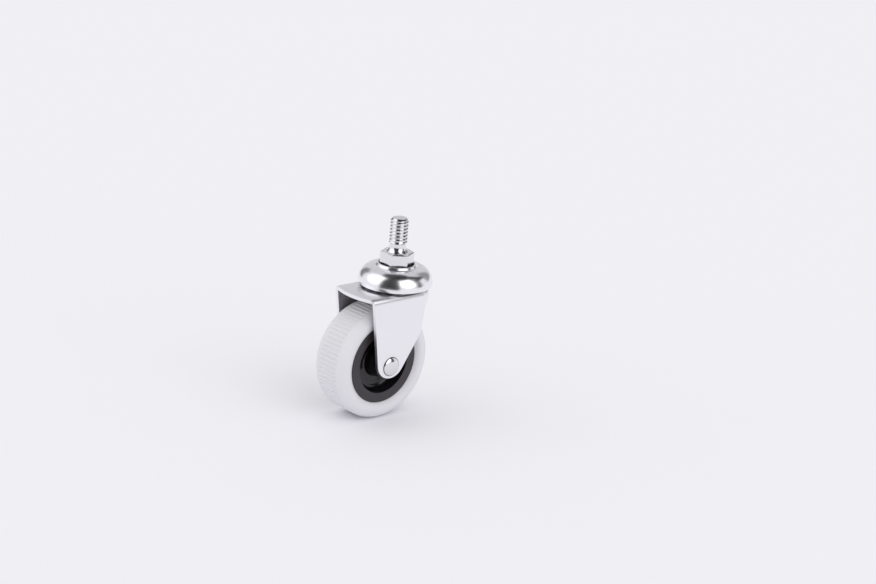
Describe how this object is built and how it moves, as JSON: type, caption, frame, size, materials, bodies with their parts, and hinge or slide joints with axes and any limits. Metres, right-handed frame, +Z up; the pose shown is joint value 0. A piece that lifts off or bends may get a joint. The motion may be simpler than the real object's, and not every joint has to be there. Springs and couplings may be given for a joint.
{
  "type": "swivel castor",
  "caption": "Light-duty swivel castor: threaded stem with a hex collar, domed ball race cap, pressed fork, riveted axle and a ribbed grey rubber wheel on a black hub.",
  "frame": {"origin": "centre of the mounting face, the top of the hex collar, on the stem axis", "axes": "+Z up along the stem and swivel axis, Y along the wheel axle, +X ahead: the wheel trails towards -X"},
  "size_m": [0.0517, 0.0324, 0.0868],
  "materials": {
    "stem_zinc": "bright zinc plating",
    "cap_chrome": "polished",
    "fork_zinc": "bright zinc plating, satin",
    "rivet_steel": "bright",
    "race_steel": "plain",
    "ball_steel": "polished, greased",
    "hub_plastic": "glossy black dish with a satin rim ring",
    "tyre_rubber": "matte pale grey"
  },
  "bodies": {
    "mount_body": {"king_stem": "stem_zinc", "dome_cap": "cap_chrome", "lower_race": "race_steel"},
    "swivel_body": {"fork": "fork_zinc", "axle_rivet": "rivet_steel", "axle_sleeve": "race_steel"},
    "wheel_body": {"hub": "hub_plastic", "tyre": "tyre_rubber"},
    "upper_ball_row": {"upper_ball_01": "ball_steel", "upper_ball_02": "ball_steel", "upper_ball_03": "ball_steel", "upper_ball_04": "ball_steel", "upper_ball_05": "ball_steel", "upper_ball_06": "ball_steel", "upper_ball_07": "ball_steel", "upper_ball_08": "ball_steel", "upper_ball_09": "ball_steel", "upper_ball_10": "ball_steel", "upper_ball_11": "ball_steel", "upper_ball_12": "ball_steel", "upper_ball_13": "ball_steel", "upper_ball_14": "ball_steel"},
    "lower_ball_row": {"lower_ball_01": "ball_steel", "lower_ball_02": "ball_steel", "lower_ball_03": "ball_steel", "lower_ball_04": "ball_steel", "lower_ball_05": "ball_steel", "lower_ball_06": "ball_steel", "lower_ball_07": "ball_steel", "lower_ball_08": "ball_steel", "lower_ball_09": "ball_steel", "lower_ball_10": "ball_steel"}
  },
  "joints": [
    {"name": "swivel", "type": "hinge", "parent": "mount_body", "child": "swivel_body", "pos_m": [0, 0, -0.0165], "axis": [0, 0, 1], "continuous": true},
    {"name": "wheel_spin", "type": "hinge", "parent": "swivel_body", "child": "wheel_body", "pos_m": [-0.0105, 0, -0.0469], "axis": [0, 1, 0], "continuous": true},
    {"name": "upper_row_orbit", "type": "hinge", "parent": "mount_body", "child": "upper_ball_row", "pos_m": [0, 0, -0.0109], "axis": [0, 0, 1], "continuous": true},
    {"name": "lower_row_orbit", "type": "hinge", "parent": "mount_body", "child": "lower_ball_row", "pos_m": [0, 0, -0.0146], "axis": [0, 0, 1], "continuous": true}
  ],
  "couplings": [
    {"joint": "upper_row_orbit", "follows": "swivel", "ratio": 0.5},
    {"joint": "lower_row_orbit", "follows": "swivel", "ratio": 0.5}
  ]
}
